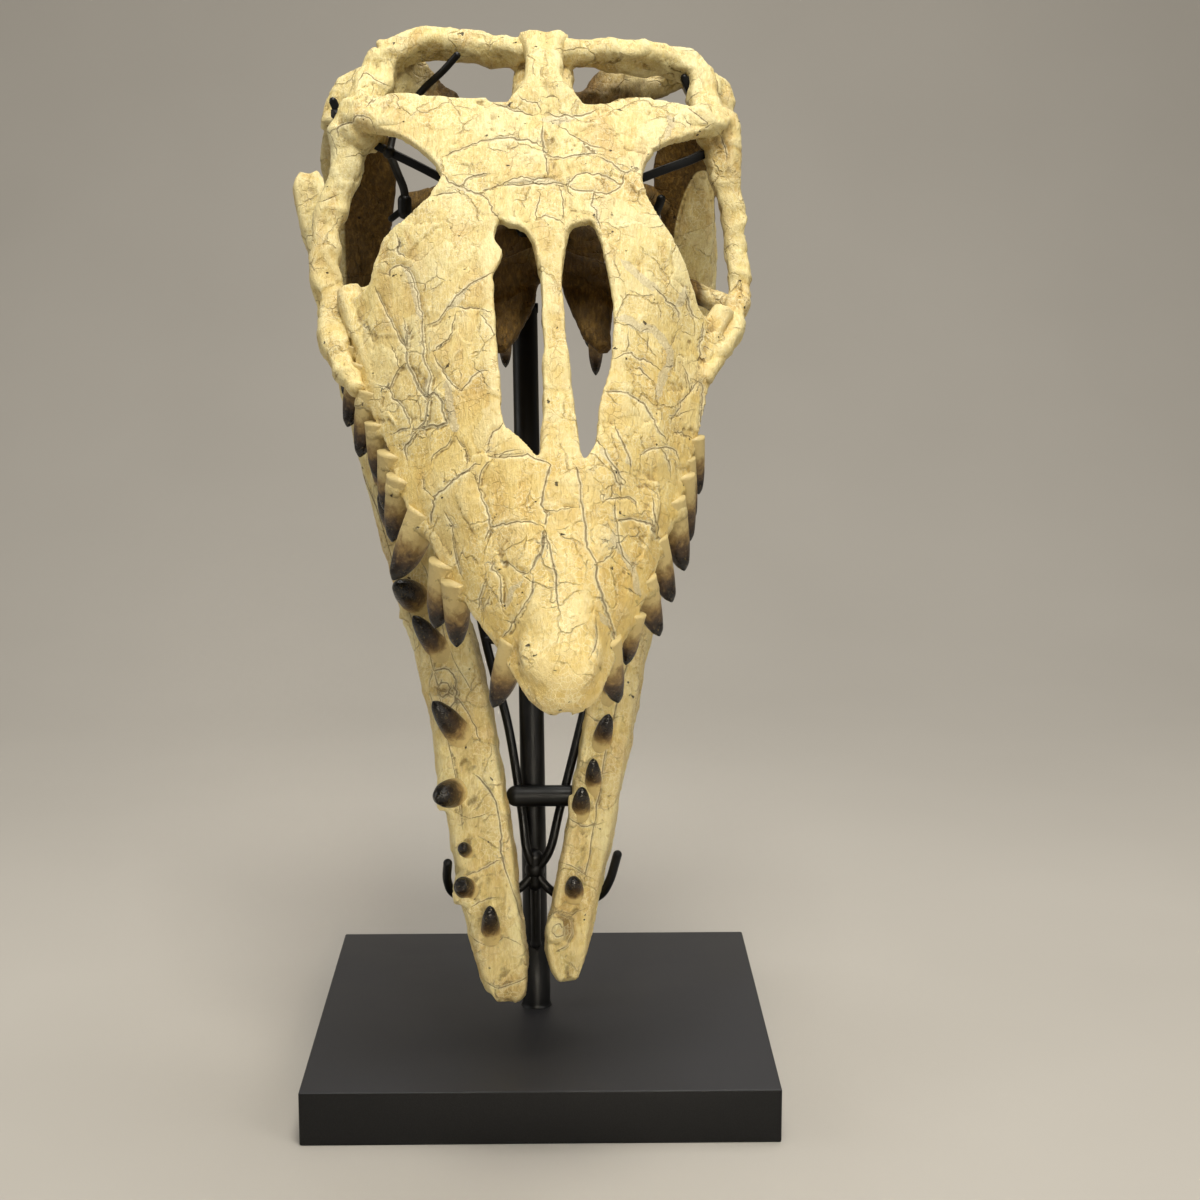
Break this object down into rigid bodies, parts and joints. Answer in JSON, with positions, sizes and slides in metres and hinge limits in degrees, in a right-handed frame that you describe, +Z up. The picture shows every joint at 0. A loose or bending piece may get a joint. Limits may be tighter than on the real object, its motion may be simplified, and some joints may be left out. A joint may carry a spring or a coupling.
{
  "type": "fossil mosasaur skull on a display stand",
  "caption": "Fossil marine reptile skull with toothed jaws hung snout down on a black steel post, cradles and a square plinth, for display on a table or floor.",
  "frame": {"origin": "middle of the plinth's underside", "axes": "+Z up, -Y towards the viewer whom the skull's roof faces, +X to that viewer's right"},
  "size_m": [0.4301, 0.5743, 0.9261],
  "materials": {
    "fossil_bone": "satin",
    "black_steel": "satin",
    "plinth_black": "matte"
  },
  "bodies": {
    "root": {"cranium": "fossil_bone", "mandible_left": "fossil_bone", "mandible_right": "fossil_bone", "quadrate_left": "fossil_bone", "quadrate_right": "fossil_bone", "plinth": "plinth_black", "post_socket": "black_steel", "post": "black_steel", "skull_cradle": "black_steel", "jaw_cradle": "black_steel"}
  },
  "joints": []
}
